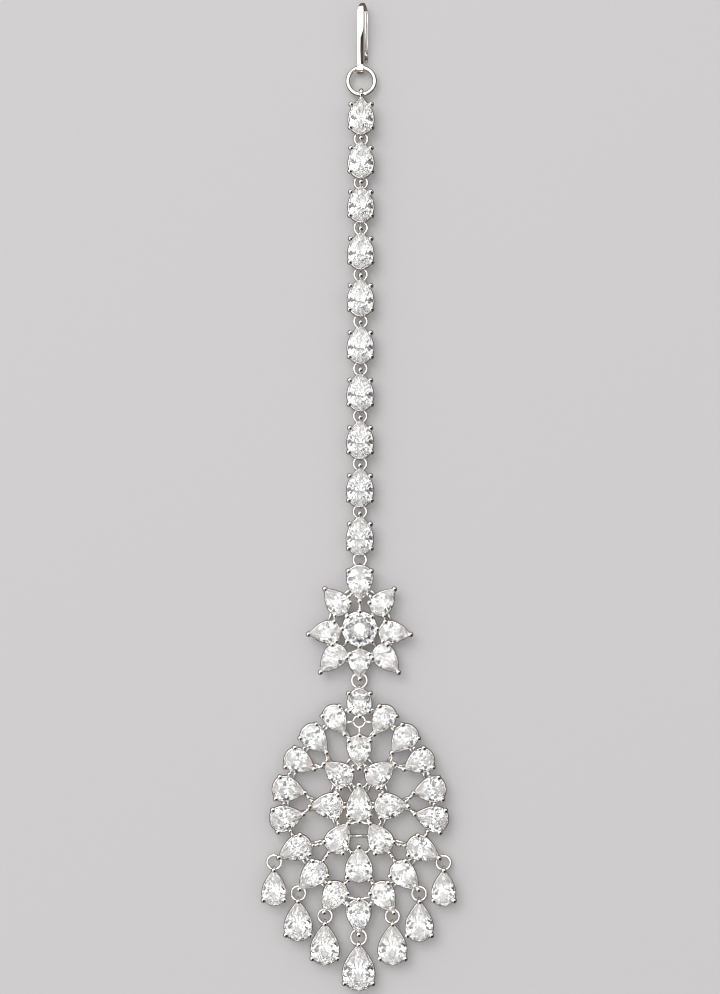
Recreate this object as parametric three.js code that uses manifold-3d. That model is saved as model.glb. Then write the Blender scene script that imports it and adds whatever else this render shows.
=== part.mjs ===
// A maang tikka: a hair jewel of clear cut stones in silver-coloured prong settings, lying face up.
//
// Millimetres. +Z is up out of the surface it lies on, +Y runs from the drops to the hook, and X runs across.
// From the hook down: hook, top ring, ten oval stones joined by links, a star flower of nine stones, a ring,
// a pierced pendant of twenty-seven stones, and seven pear drops on rings of their own.

import * as THREE from 'three';
import { ConvexGeometry } from 'three/addons/geometries/ConvexGeometry.js';
import { mergeVertices } from 'three/addons/utils/BufferGeometryUtils.js';
import Module from 'manifold-3d';

const wasm = await Module();
wasm.setup();

// Stones: shares of a stone's width, and how strongly each cut narrows to its tip
const PAVILION_SHARE = 0.4;
const CROWN_SHARE = 0.15;
const TABLE_SHARE = 0.56;
const PEAR_TAPER = 0.85;
const OVAL_TAPER = 0.14;
const CHAIN_TAPER = 0.42;
const ROUND_TAPER = 0;

// Settings: a base rail under each stone, and prongs that rise from it and close over the stone's edge
const CULET_GAP = 0.35;
const RAIL_HEIGHT = 0.5;
const RAIL_WIDTH = 0.42;
const RAIL_SHARE = 0.62;
const PRONG_RADIUS = 0.22;
const PRONG_FOOT_RADIUS = 0.13;
const CLAW_HEIGHT = 0.52;
const SEAT_GAP = 0.1;
const FUSE_DEPTH = 0.06;
const BAR_WIDTH = 0.45;
const BAR_HEIGHT = 0.4;

// Loops and rings: the eye of a loop clears the ring in it by LOOP_CLEARANCE. A staple leaves its rail at a
// share of the rail's height and ends at a share of the stone's depth under its edge.
const LOOP_CLEARANCE = 0.13;
const LOOP_WIRE = 0.3;
const LINK_WIRE = 0.37;
const LINK_DIAMETER = 2.41;
const FLOOR_GAP = 0.38;
const STAPLE_FOOT_SHARE = 0.6;
const STAPLE_HEAD_SHARE = 0.2;
const TONGUE_SHARE = 0.8;

// Hook and top ring
const TOP_RING_DIAMETER = 5.0;
const TOP_RING_WIRE = 0.68;
const TOP_RING_REACH = 0.78;
const HOOK_LENGTH = 11.2;
const HOOK_WIDTH = 1.07;
const HOOK_TIP_WIDTH = 0.5;
const HOOK_THICKNESS = 0.5;
const HOOK_GAP = 2.6;
const HOOK_OPENING = 1.1;
const HOOK_SIDE_STEP = 0.95;
const HOOK_EYE_START = 25;
const HOOK_EYE_TURN = 295;

// Chain: the stones grow evenly from the first, by the top ring, to the last, by the flower
const CHAIN_COUNT = 10;
const CHAIN_GAP = 1.64;
const CLOSE_LINKS = 2;
const CLOSE_GAP = 1.24;
const CHAIN_FIRST = { length: 5.74, width: 4.0 };
const CHAIN_LAST = { length: 6.1, width: 4.2 };
const OVAL_PRONG_TURNS = [55, 130];

// Flower: a round stone, a pear above it with its tip down, and seven pears with their tips out
const FLOWER_STONE = 5.5;
const FLOWER_PRONGS = 8;
const PETAL = { length: 5.0, width: 3.5 };
const PETAL_CLEARANCE = 0.4;
const PETAL_GAP = 0.3;
const TOP_PETAL = { length: 5.7, width: 4.1 };
const TOP_PETAL_CLEARANCE = 1.72;
const PETAL_PRONG_TURN = 132;

// Each petal: degrees from straight up, the distance of its widest place from the middle as a share of the
// ring of petals, and its length as a share of PETAL's
const PETALS = [
  { turn: 41, out: 1.02, long: 1 },
  { turn: 96, out: 0.97, long: 1 },
  { turn: 138, out: 1.13, long: 1.06 },
  { turn: 180, out: 1.0, long: 0.93 },
  { turn: 222, out: 1.13, long: 1.06 },
  { turn: 264, out: 0.97, long: 1 },
  { turn: 319, out: 1.02, long: 1 },
];

// Ring between the flower and the pendant, and how far its wire lies in from each stone's end
const PENDANT_RING_HOLD = 0.8;
const PENDANT_RING_GAP = 1.6;
const PENDANT_RING_TOP = 0.05;
const PENDANT_RING_POST = 0.14;

// Pendant net: NET_REACH is from the axis to the farthest stone's middle, NET_LENGTH from the first to the last
const NET_REACH = 11.58;
const NET_LENGTH = 34.35;
const NET_STONE = { length: 5.3, width: 3.9 };
const NET_PRONG_TURN = 132;
const DROP_RING_WIRE = 0.34;
const DROP_RING_DIAMETER = 2.66;

// Stones of the net. across and down place a stone's middle, as shares of NET_REACH and NET_LENGTH; turn is
// its tip's direction in degrees from straight up, clockwise on the right; long and wide are shares of
// NET_STONE. A stone off the axis has a twin on the left. crest adds a prong at its round end.
const NET_STONES = [
  { name: 'c0', across: 0, down: 0, turn: 0, long: 0.82, wide: 0.98, taper: OVAL_TAPER, crest: true },
  { name: 'c1', across: 0, down: 0.231, turn: 180, long: 0.98, wide: 0.98, taper: PEAR_TAPER, crest: true },
  { name: 'c2', across: 0, down: 0.47, turn: 0, long: 1.09, wide: 1.01, taper: PEAR_TAPER, crest: true },
  { name: 'c3', across: 0, down: 0.758, turn: 0, long: 1.07, wide: 1.09, taper: PEAR_TAPER },
  { name: 'c4', across: 0, down: 1, turn: 180, long: 1.04, wide: 1.0, taper: PEAR_TAPER, crest: true },
  { name: 'p1', across: 0.318, down: 0.085, turn: 210.7, long: 0.96, wide: 0.9, taper: PEAR_TAPER },
  { name: 'p2', across: 0.604, down: 0.175, turn: 220.8, long: 1.0, wide: 0.97, taper: PEAR_TAPER },
  { name: 'p3', across: 0.822, down: 0.279, turn: 244.4, long: 0.95, wide: 0.98, taper: PEAR_TAPER },
  { name: 'p4', across: 0.974, down: 0.409, turn: 259.7, long: 0.97, wide: 1.02, taper: PEAR_TAPER },
  { name: 'p5', across: 1, down: 0.541, turn: 284, long: 1.02, wide: 1.04, taper: PEAR_TAPER },
  { name: 'p6', across: 0.891, down: 0.688, turn: 116.2, long: 1.03, wide: 1.0, taper: PEAR_TAPER },
  { name: 'i1', across: 0.3, down: 0.331, turn: 55.5, long: 0.98, wide: 0.98, taper: PEAR_TAPER },
  { name: 'i2', across: 0.448, down: 0.485, turn: 90, long: 0.99, wide: 1.03, taper: PEAR_TAPER },
  { name: 'i3', across: 0.271, down: 0.632, turn: 328.6, long: 1.0, wide: 1.0, taper: PEAR_TAPER },
  { name: 's1', across: 0.649, down: 0.813, turn: 135, long: 1.04, wide: 0.98, taper: PEAR_TAPER },
  { name: 's2', across: 0.358, down: 0.911, turn: 148.4, long: 1.01, wide: 0.96, taper: PEAR_TAPER },
];

// Bars of the net: which stones they join. twin says that the second stone is the one on the other side.
const NET_BARS = [
  { from: 'c0', to: 'p1' },
  { from: 'c0', to: 'c1' },
  { from: 'c1', to: 'p1' },
  { from: 'p1', to: 'p2' },
  { from: 'p2', to: 'p3' },
  { from: 'p3', to: 'p4' },
  { from: 'p4', to: 'p5' },
  { from: 'p5', to: 'p6' },
  { from: 'p6', to: 's1' },
  { from: 's1', to: 's2' },
  { from: 's2', to: 'c4' },
  { from: 's2', to: 'c3' },
  { from: 'c3', to: 'c4' },
  { from: 'p2', to: 'i1' },
  { from: 'p3', to: 'i1' },
  { from: 'p4', to: 'i2' },
  { from: 'p5', to: 'i2' },
  { from: 'i1', to: 'i2' },
  { from: 'i1', to: 'c1' },
  { from: 'i1', to: 'c2' },
  { from: 'i2', to: 'c2' },
  { from: 'i2', to: 'i3' },
  { from: 'i3', to: 'c2' },
  { from: 'i3', to: 'c3' },
  { from: 'i3', to: 'p6' },
  { from: 'i3', to: 's1' },
  { from: 'i3', to: 'i3', twin: true },
];

// Drops: the net stone that carries each; its ring's middle from that stone's tip, outward and down, and the
// ring's diameter, as shares of DROP_RING_DIAMETER; how far the wire lies in from the drop's tip; and the
// drop's size as shares of DROP
const DROP = { length: 7.28, width: 5.1 };
const DROP_HOLD = 0.05;
const CENTRE_DROP_HOLD = 0.3;
const DROPS = [
  { from: 'c4', out: 0, down: 0.3, ring: 1.08, hold: CENTRE_DROP_HOLD, long: 1, wide: 1 },
  { from: 's2', out: -0.05, down: 0.35, ring: 0.98, hold: DROP_HOLD, long: 0.89, wide: 0.885 },
  { from: 's1', out: 0.09, down: 0.37, ring: 1, hold: DROP_HOLD, long: 0.868, wide: 0.853 },
  { from: 'p6', out: 0.31, down: 0.39, ring: 1, hold: DROP_HOLD, long: 0.77, wide: 0.728 },
];

// Sides that stand for round forms
const GIRDLE_SIDES = 12;
const TABLE_SIDES = 6;
const RAIL_SIDES = 6;
const PRONG_SIDES = 3;
const LOOP_SIDES = 8;
const LOOP_WIRE_SIDES = 4;
const STAPLE_STEPS = 3;
const LINK_SIDES = 10;
const LINK_WIRE_SIDES = 5;
const TOP_RING_SIDES = 16;
const TOP_RING_WIRE_SIDES = 6;
const ARC_STEPS = 8;

// Levels above the surface
const DEEPEST_STONE = Math.max(FLOWER_STONE, DROP.width, TOP_PETAL.width, CHAIN_LAST.width, NET_STONE.width);
const GIRDLE_LEVEL = CULET_GAP + PAVILION_SHARE * DEEPEST_STONE;
const WELD = 1e-4;

const metal = () => new THREE.MeshStandardMaterial({ color: 0xd8d5d0, metalness: 1, roughness: 0.16 });
const setStone = () => new THREE.MeshStandardMaterial({ color: 0xeff1f3, metalness: 0.2, roughness: 0.06 });
const clearStone = () => new THREE.MeshStandardMaterial({ color: 0xf6f8fa, metalness: 0, roughness: 0.02 });

const radians = THREE.MathUtils.degToRad;

// Direction in the plane for a turn in degrees from +Y, clockwise
const heading = (turn) => new THREE.Vector2(Math.sin(radians(turn)), Math.cos(radians(turn)));

// Solid for joining, from a closed geometry
function solidOf(geometry) {
  const bare = geometry.clone();
  bare.deleteAttribute('normal');
  bare.deleteAttribute('uv');
  const welded = mergeVertices(bare, WELD);
  return new wasm.Manifold(new wasm.Mesh({
    numProp: 3,
    vertProperties: Float32Array.from(welded.attributes.position.array),
    triVerts: Uint32Array.from(welded.index.array),
  }));
}

// One geometry from several that touch or overlap
function joined(geometries) {
  const whole = geometries.map(solidOf).reduce((sum, solid) => sum.add(solid));
  const mesh = whole.getMesh();
  const geometry = new THREE.BufferGeometry();
  geometry.setAttribute('position', new THREE.BufferAttribute(Float32Array.from(mesh.vertProperties), 3));
  geometry.setIndex(new THREE.BufferAttribute(Uint32Array.from(mesh.triVerts), 1));
  const faceted = geometry.toNonIndexed();
  faceted.computeVertexNormals();
  return faceted;
}

function part(name, geometry, material, x = 0, y = 0, turn = 0) {
  const mesh = new THREE.Mesh(geometry, material);
  mesh.name = name;
  mesh.position.set(x, y, 0);
  mesh.rotation.z = -radians(turn);
  return mesh;
}

// Point of a stone's outline at an angle from its tip, which points to +Y: an ellipse, or with taper a pear
function outlinePoint({ length, width, taper }, angle) {
  const widest = 2 * Math.atan(Math.sqrt(1 + taper));
  const bulge = (a) => Math.sin(a) * Math.abs(Math.sin(a / 2)) ** taper;
  return new THREE.Vector2(bulge(angle) / bulge(widest) * width / 2, Math.cos(angle) * length / 2);
}

// Points of the outline, anticlockwise from the tip
function outline(stone, count) {
  return Array.from({ length: count }, (_, i) => outlinePoint(stone, (i / count) * -2 * Math.PI));
}

// Outward direction of a stone's outline at an angle from its tip
function outlineNormal(stone, angle) {
  const step = 0.02;
  const along = outlinePoint(stone, angle + step).sub(outlinePoint(stone, angle - step));
  return new THREE.Vector2(along.y, -along.x).multiplyScalar(-1).normalize();
}

// The same cut, smaller by a share and then by a rim on every side
function reduced(stone, share, rim = 0) {
  return { ...stone, length: stone.length * share - 2 * rim, width: stone.width * share - 2 * rim };
}

// Cut stone: girdle, a smaller table above it, and a culet under its widest place
function gem(stone) {
  const widest = Math.cos(2 * Math.atan(Math.sqrt(1 + stone.taper))) * stone.length / 2;
  const points = [
    ...outline(stone, GIRDLE_SIDES).map((p) => new THREE.Vector3(p.x, p.y, GIRDLE_LEVEL)),
    ...outline(reduced(stone, TABLE_SHARE), TABLE_SIDES).map(
      (p) => new THREE.Vector3(p.x, p.y, GIRDLE_LEVEL + CROWN_SHARE * stone.width),
    ),
    new THREE.Vector3(0, widest * TABLE_SHARE, GIRDLE_LEVEL - PAVILION_SHARE * stone.width),
  ];
  return new ConvexGeometry(points);
}

// Base rail under a stone, a flat ring of its outline
function rail(stone) {
  const shape = new THREE.Shape(outline(reduced(stone, RAIL_SHARE), RAIL_SIDES));
  shape.holes.push(new THREE.Path(outline(reduced(stone, RAIL_SHARE, RAIL_WIDTH), RAIL_SIDES)));
  return new THREE.ExtrudeGeometry(shape, { depth: RAIL_HEIGHT, bevelEnabled: false });
}

// Points of a level polygon that stands for a round wire, with one corner in the direction given
function wireRing(centre, level, radius, out) {
  return Array.from({ length: PRONG_SIDES }, (_, i) => {
    const corner = out.clone().rotateAround(new THREE.Vector2(), (i / PRONG_SIDES) * 2 * Math.PI);
    const point = centre.clone().addScaledVector(corner, radius);
    return new THREE.Vector3(point.x, point.y, level);
  });
}

// Prong: a post from the rail out to the stone's edge, and a claw that closes over it. At a tip that hangs
// well over a ring, the post stands at the stone's own tipFoot instead, beyond the ring.
function prong(stone, angle, gap) {
  const edge = outlinePoint(stone, angle);
  const out = outlineNormal(stone, angle);
  const onRail = outlinePoint(reduced(stone, RAIL_SHARE, RAIL_WIDTH / 2), angle);
  const foot = angle === 0 && stone.tipFoot ? new THREE.Vector2(0, stone.tipFoot) : onRail;
  const knee = edge.clone().addScaledVector(out, gap + PRONG_RADIUS);
  const tip = edge.clone().addScaledVector(out, gap / 2);
  const feet = wireRing(foot, RAIL_HEIGHT / 2, PRONG_FOOT_RADIUS, out);
  const knees = wireRing(knee, GIRDLE_LEVEL + Math.max(gap, 0), PRONG_RADIUS, out);
  const end = new THREE.Vector3(tip.x, tip.y, GIRDLE_LEVEL + CLAW_HEIGHT);
  const fused = gap < 0;
  if (fused) return [new ConvexGeometry([...feet, ...knees, end])];
  return [new ConvexGeometry([...feet, ...knees]), new ConvexGeometry([...knees, end])];
}

const prongs = (stone, angles, gap) => angles.flatMap((angle) => prong(stone, angle, gap));

// Angles of an oval stone's four prongs
const ovalProngs = () => OVAL_PRONG_TURNS.flatMap((turn) => [radians(turn), -radians(turn)]);

// Sizes of the loop that holds a ring of a given wire
const loopRadius = (wire) => wire / 2 + LOOP_CLEARANCE + LOOP_WIRE / 2;
const ringLevel = (wire) => FLOOR_GAP + loopRadius(wire) + LOOP_WIRE / 2;

// Closed solid through a row of rectangular sections in the upright plane of Y, each with a middle, a direction
// across its thickness, which points to the left of the row's own direction, a width along X and a thickness
function strip(sections) {
  const rings = sections.map(({ x = 0, y, z, ny, nz, width, thickness }) => (
    [[1, 1], [-1, 1], [-1, -1], [1, -1]].map(([side, face]) => [
      x + side * width / 2,
      y + face * ny * thickness / 2,
      z + face * nz * thickness / 2,
    ])
  ));
  const positions = rings.flat(2);
  const index = [0, 1, 2, 0, 2, 3];
  for (let r = 0; r + 1 < rings.length; r += 1) {
    for (let k = 0; k < 4; k += 1) {
      const a = 4 * r + k;
      const b = 4 * r + (k + 1) % 4;
      index.push(a, a + 4, b, b, a + 4, b + 4);
    }
  }
  const last = 4 * (rings.length - 1);
  index.push(last, last + 2, last + 1, last, last + 3, last + 2);
  const geometry = new THREE.BufferGeometry();
  geometry.setAttribute('position', new THREE.Float32BufferAttribute(positions, 3));
  geometry.setIndex(index);
  return geometry;
}

// Staple round a ring's wire at a point: it leaves the rail at the anchor, passes under the wire, turns up
// round it and runs back over the anchor into the stone
function staple(point, anchor, wire, stone) {
  const away = point.clone().sub(anchor);
  const radius = loopRadius(wire);
  const section = (y, z, angle) => ({
    y,
    z,
    ny: -Math.cos(angle),
    nz: -Math.sin(angle),
    width: LOOP_WIRE,
    thickness: LOOP_WIRE,
  });
  const turns = Array.from({ length: STAPLE_STEPS + 1 }, (_, i) => Math.PI * (i / STAPLE_STEPS - 0.5));
  const wireBend = strip([
    section(-away.length(), RAIL_HEIGHT * STAPLE_FOOT_SHARE, -Math.PI / 2),
    ...turns.map((turn) => section(radius * Math.cos(turn), ringLevel(wire) + radius * Math.sin(turn), turn)),
    section(-away.length(), GIRDLE_LEVEL - PAVILION_SHARE * stone.width * STAPLE_HEAD_SHARE, Math.PI / 2),
  ]);
  return wireBend.rotateZ(Math.atan2(away.y, away.x) - Math.PI / 2).translate(point.x, point.y, 0);
}

// Upright closed loop round a ring's wire at a point, with a tongue under it that runs back to a place on a
// rail, and past the ring by a length of its own where a post stands on it
function loop(point, towards, wire, anchor, past = 0) {
  const eye = new THREE.TorusGeometry(loopRadius(wire), LOOP_WIRE / 2, LOOP_WIRE_SIDES, LOOP_SIDES);
  eye.rotateX(Math.PI / 2);
  eye.rotateZ(Math.atan2(towards.y, towards.x));
  eye.translate(point.x, point.y, ringLevel(wire));
  const end = point.clone().addScaledVector(towards, past);
  return [eye, bar(anchor, end, LOOP_WIRE, FLOOR_GAP / 2, FLOOR_GAP + LOOP_WIRE * TONGUE_SHARE)];
}

// Straight bar between two points of the plane
function bar(from, to, width, low, high) {
  const along = to.clone().sub(from);
  const box = new THREE.BoxGeometry(along.length(), width, high - low);
  box.rotateZ(Math.atan2(along.y, along.x));
  return box.translate((from.x + to.x) / 2, (from.y + to.y) / 2, (low + high) / 2);
}

// Flat ring of round wire at the level where its loops hold it
function wireCircle(diameter, wire, level, sides = LINK_SIDES, wireSides = LINK_WIRE_SIDES) {
  return new THREE.TorusGeometry((diameter - wire) / 2, wire / 2, wireSides, sides).translate(0, 0, level);
}

// Place on a rail at the stone's tip, or at its other end
const railEnd = (stone, side = 1) => new THREE.Vector2(0, side * (RAIL_SHARE * stone.length / 2 - RAIL_WIDTH / 2));

// Gap between the stones that a link of the chain joins, and how far in from their ends its wire lies
const linkGap = (i) => (i < CLOSE_LINKS ? CLOSE_GAP : CHAIN_GAP);
const linkHold = (i) => (LINK_DIAMETER - LINK_WIRE - linkGap(i)) / 2;

// Chain: an oval stone with four prongs, and a loop at each end
function station(stone, topWire, topReach, lowHold) {
  const topPoint = new THREE.Vector2(0, stone.length / 2 + topReach);
  const lowPoint = new THREE.Vector2(0, -stone.length / 2 + lowHold);
  return joined([
    gem(stone),
    rail(stone),
    ...prongs(stone, ovalProngs(), SEAT_GAP),
    staple(topPoint, railEnd(stone), topWire, stone),
    staple(lowPoint, railEnd(stone, -1), LINK_WIRE, stone),
  ]);
}

function chain(group, flowerTop) {
  const stones = Array.from({ length: CHAIN_COUNT }, (_, i) => {
    const share = i / (CHAIN_COUNT - 1);
    return {
      length: THREE.MathUtils.lerp(CHAIN_FIRST.length, CHAIN_LAST.length, share),
      width: THREE.MathUtils.lerp(CHAIN_FIRST.width, CHAIN_LAST.width, share),
      taper: CHAIN_TAPER,
    };
  });
  let end = flowerTop;
  for (let i = CHAIN_COUNT - 1; i >= 0; i -= 1) {
    const stone = stones[i];
    const number = String(i + 1).padStart(2, '0');
    const first = i === 0;
    const gap = linkGap(i);
    const link = wireCircle(LINK_DIAMETER, LINK_WIRE, ringLevel(LINK_WIRE));
    group.add(part(`chain_link_${number}`, link, metal(), 0, end + gap / 2));
    const topReach = first ? TOP_RING_REACH : -linkHold(i - 1);
    const solid = station(stone, first ? TOP_RING_WIRE : LINK_WIRE, topReach, linkHold(i));
    group.add(part(`chain_station_${number}`, solid, setStone(), 0, end + gap + stone.length / 2));
    end += gap + stone.length;
  }
  return end;
}

// Hook, bent on edge: an eye round the top ring's wire, a front limb, an arch and a back limb on the surface
function hook() {
  const half = HOOK_THICKNESS / 2;
  const eye = TOP_RING_WIRE / 2 + LOOP_CLEARANCE + half;
  const level = ringLevel(TOP_RING_WIRE);
  const archRadius = (HOOK_GAP + HOOK_THICKNESS) / 2;
  const archLevel = half + archRadius;
  const archMiddle = HOOK_LENGTH - eye - half - archRadius - half;
  const sections = [];
  const add = (y, z, angle, side, width) => sections.push({
    x: side,
    y,
    z,
    ny: Math.cos(angle),
    nz: Math.sin(angle),
    width,
    thickness: HOOK_THICKNESS,
  });
  for (let i = 0; i <= ARC_STEPS; i += 1) {
    const angle = radians(HOOK_EYE_START - HOOK_EYE_TURN * (i / ARC_STEPS));
    add(eye * Math.cos(angle), level + eye * Math.sin(angle), angle, 0, HOOK_WIDTH);
  }
  for (let i = 1; i <= ARC_STEPS; i += 1) {
    const angle = radians(90 - 180 * (i / ARC_STEPS));
    const share = i / ARC_STEPS;
    const width = THREE.MathUtils.lerp(HOOK_WIDTH, HOOK_TIP_WIDTH, share);
    add(
      archMiddle + archRadius * Math.cos(angle),
      archLevel + archRadius * Math.sin(angle),
      angle,
      HOOK_SIDE_STEP * THREE.MathUtils.smoothstep(share, 0, 1),
      width,
    );
  }
  add(HOOK_OPENING, half, radians(-90), HOOK_SIDE_STEP, HOOK_TIP_WIDTH);
  return strip(sections);
}

// Flower: the ring on which the petals' widest places lie, clear of the round stone and of each other
function petalRing() {
  const nearest = Math.min(...PETALS.map((petal) => petal.out));
  const roundStone = (FLOWER_STONE / 2 + PETAL_CLEARANCE + PETAL.width / 2) / nearest;
  const chords = PETALS.slice(1).map((petal, i) => {
    const before = PETALS[i];
    const between = heading(petal.turn).multiplyScalar(petal.out);
    return between.distanceTo(heading(before.turn).multiplyScalar(before.out));
  });
  return Math.max(roundStone, (PETAL.width + PETAL_GAP) / Math.min(...chords));
}

// The flower's stones with their places; each middle is half a length beyond the round end
function flowerStones() {
  const ring = petalRing();
  const top = FLOWER_STONE / 2 + TOP_PETAL_CLEARANCE + TOP_PETAL.length / 2;
  return [
    { name: 'flower_centre', length: FLOWER_STONE, width: FLOWER_STONE, taper: ROUND_TAPER, turn: 0, out: 0 },
    { name: 'flower_petal_top', ...TOP_PETAL, taper: PEAR_TAPER, turn: 0, out: top, inward: true },
    ...PETALS.map((petal, i) => ({
      name: `flower_petal_${i + 1}`,
      length: PETAL.length * petal.long,
      width: PETAL.width,
      taper: PEAR_TAPER,
      turn: petal.turn,
      out: ring * petal.out + (PETAL.length * petal.long - PETAL.width) / 2,
    })),
  ];
}

// A stone's geometry turned and moved to its place in a field of stones
function placed(geometries, middle, turn) {
  return geometries.map((geometry) => geometry.rotateZ(-radians(turn)).translate(middle.x, middle.y, 0));
}

// Distance from a stone's middle to the middle of its rail, in a direction of the plane
function railReach(stone, direction) {
  const rim = reduced(stone, RAIL_SHARE, RAIL_WIDTH / 2);
  const inStone = direction.clone().rotateAround(new THREE.Vector2(), radians(stone.turn));
  const points = outline(rim, RAIL_SIDES * 4);
  const best = points.reduce((a, b) => {
    const better = b.clone().normalize().dot(inStone) > a.clone().normalize().dot(inStone);
    return better ? b : a;
  });
  return best.length();
}

// Bar between the rails of two stones of a field
function railBar(one, other) {
  const along = other.middle.clone().sub(one.middle).normalize();
  const from = one.middle.clone().addScaledVector(along, railReach(one, along));
  const to = other.middle.clone().addScaledVector(along, -railReach(other, along.clone().negate()));
  return bar(from, to, BAR_WIDTH, (RAIL_HEIGHT - BAR_HEIGHT) / 2, (RAIL_HEIGHT + BAR_HEIGHT) / 2);
}

function flower(group) {
  const stones = flowerStones().map((stone) => {
    const turn = stone.inward ? stone.turn + 180 : stone.turn;
    return { ...stone, middle: heading(stone.turn).multiplyScalar(stone.out), turn };
  });
  const [centre, top, ...petals] = stones;
  const ring = [top, ...petals, top];
  const side = radians(PETAL_PRONG_TURN);
  const last = petals.find((petal) => petal.turn === 180);
  last.tipFoot = last.length / 2 - PENDANT_RING_POST;
  const settings = stones.flatMap((stone) => {
    const round = Array.from({ length: FLOWER_PRONGS }, (_, i) => (i / FLOWER_PRONGS) * 2 * Math.PI);
    const angles = stone === centre ? round : [0, side, -side];
    return placed([rail(stone), ...prongs(stone, angles, SEAT_GAP)], stone.middle, stone.turn);
  });
  const bars = [...petals, top].map((petal) => railBar(centre, petal));
  const sides = ring.slice(1).map((petal, i) => railBar(ring[i], petal));
  const topPoint = new THREE.Vector2(0, top.middle.y + top.length / 2 - linkHold(CHAIN_COUNT - 1));
  const lowPoint = new THREE.Vector2(0, last.middle.y - last.length / 2 + PENDANT_RING_HOLD);
  const past = PENDANT_RING_HOLD - PENDANT_RING_POST;
  const frame = joined([
    ...settings,
    ...bars,
    ...sides,
    ...loop(topPoint, new THREE.Vector2(0, 1), LINK_WIRE, railEnd(top).add(top.middle)),
    ...loop(lowPoint, new THREE.Vector2(0, -1), DROP_RING_WIRE, railEnd(last, -1).add(last.middle), past),
  ]);
  group.add(part('flower_frame', frame, metal()));
  stones.forEach((stone) => {
    group.add(part(`${stone.name}_stone`, gem(stone), clearStone(), stone.middle.x, stone.middle.y, stone.turn));
  });
  return { top: top.middle.y + top.length / 2, low: last.middle.y - last.length / 2 };
}

// Every stone of the net on both sides, with its middle measured from the first stone's
function netStones() {
  return NET_STONES.flatMap((row) => {
    const size = { length: NET_STONE.length * row.long, width: NET_STONE.width * row.wide, taper: row.taper };
    const sides = row.across > 0 ? [1, -1] : [0];
    return sides.map((side) => ({
      ...row,
      ...size,
      side,
      turn: side < 0 ? -row.turn : row.turn,
      middle: new THREE.Vector2(side * row.across * NET_REACH, -row.down * NET_LENGTH),
    }));
  });
}

const tipOf = (stone) => stone.middle.clone().addScaledVector(heading(stone.turn), stone.length / 2);

// Where a drop's ring and stone lie, and where the net's loop holds the ring
function dropPlaces(stones) {
  return DROPS.flatMap((row) => stones.filter((stone) => stone.name === row.from).map((carrier) => {
    const diameter = DROP_RING_DIAMETER * row.ring;
    const radius = (diameter - DROP_RING_WIRE) / 2;
    const offset = new THREE.Vector2(carrier.side * row.out, -row.down).multiplyScalar(DROP_RING_DIAMETER);
    const middle = tipOf(carrier).add(offset);
    const anchor = heading(carrier.turn).multiplyScalar(railEnd(carrier).y).add(carrier.middle);
    const away = middle.clone().sub(anchor).normalize();
    const stone = { length: DROP.length * row.long, width: DROP.width * row.wide, taper: PEAR_TAPER };
    return {
      diameter,
      middle,
      carrier,
      anchor,
      hold: middle.clone().addScaledVector(away, -radius),
      stone,
      holdIn: row.hold,
      stoneY: middle.y - radius + row.hold - stone.length / 2,
    };
  })).sort((a, b) => a.middle.x - b.middle.x);
}

// Pendant net: all its stones, their settings, the bars between them and the loops for the rings, in one body
function net(stones, drops, topHold) {
  const side = radians(NET_PRONG_TURN);
  const settings = stones.flatMap((stone) => {
    const [fused, ...others] = stone.taper === OVAL_TAPER ? ovalProngs() : [0, side, -side];
    const angles = stone.crest ? [...others, Math.PI] : others;
    const setting = [
      gem(stone),
      rail(stone),
      ...prong(stone, fused, -FUSE_DEPTH),
      ...prongs(stone, angles, SEAT_GAP),
    ];
    return placed(setting, stone.middle, stone.turn);
  });
  const bars = NET_BARS.flatMap(({ from, to, twin }) => {
    const starts = stones.filter((stone) => stone.name === from);
    const ends = stones.filter((stone) => stone.name === to);
    return starts.flatMap((start) => ends.filter((end) => {
      if (twin) return start.side > 0 && end.side < 0;
      return start.side === 0 || end.side === 0 || start.side === end.side;
    }).map((end) => railBar(start, end)));
  });
  const staples = drops.map(({ carrier, hold, anchor }) => staple(hold, anchor, DROP_RING_WIRE, carrier));
  const first = stones[0];
  const topPoint = new THREE.Vector2(0, first.length / 2 - topHold);
  return joined([
    ...settings,
    ...bars,
    ...staples,
    staple(topPoint, railEnd(first), DROP_RING_WIRE, first),
  ]);
}

// Drop: a pear stone with three prongs, and a loop at its tip
function drop(stone, holdIn) {
  const side = radians(NET_PRONG_TURN);
  const point = new THREE.Vector2(0, stone.length / 2 - holdIn);
  return joined([
    gem(stone),
    rail(stone),
    ...prongs(stone, [0, side, -side], SEAT_GAP),
    staple(point, railEnd(stone), DROP_RING_WIRE, stone),
  ]);
}

// Everything is laid out from the flower's middle, and then centred
const tikka = new THREE.Group();
const flowerEnds = flower(tikka);
const chainTop = chain(tikka, flowerEnds.top);

const topRingMiddle = chainTop + TOP_RING_REACH + (TOP_RING_DIAMETER - TOP_RING_WIRE) / 2;
const topRing = wireCircle(
  TOP_RING_DIAMETER,
  TOP_RING_WIRE,
  ringLevel(TOP_RING_WIRE),
  TOP_RING_SIDES,
  TOP_RING_WIRE_SIDES,
);
tikka.add(part('top_ring', topRing, metal(), 0, topRingMiddle));
const hookY = topRingMiddle + (TOP_RING_DIAMETER - TOP_RING_WIRE) / 2;
tikka.add(part('hook', hook(), metal(), 0, hookY));
const tikkaTop = hookY + HOOK_LENGTH - TOP_RING_WIRE / 2 - LOOP_CLEARANCE - HOOK_THICKNESS;

const pendantTop = flowerEnds.low - PENDANT_RING_GAP;
const pendantRingDiameter = PENDANT_RING_HOLD + PENDANT_RING_GAP + PENDANT_RING_TOP + DROP_RING_WIRE;
const pendantRingMiddle = flowerEnds.low + PENDANT_RING_HOLD - (pendantRingDiameter - DROP_RING_WIRE) / 2;
const pendantRing = wireCircle(pendantRingDiameter, DROP_RING_WIRE, ringLevel(DROP_RING_WIRE));
tikka.add(part('pendant_ring', pendantRing, metal(), 0, pendantRingMiddle));

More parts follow.
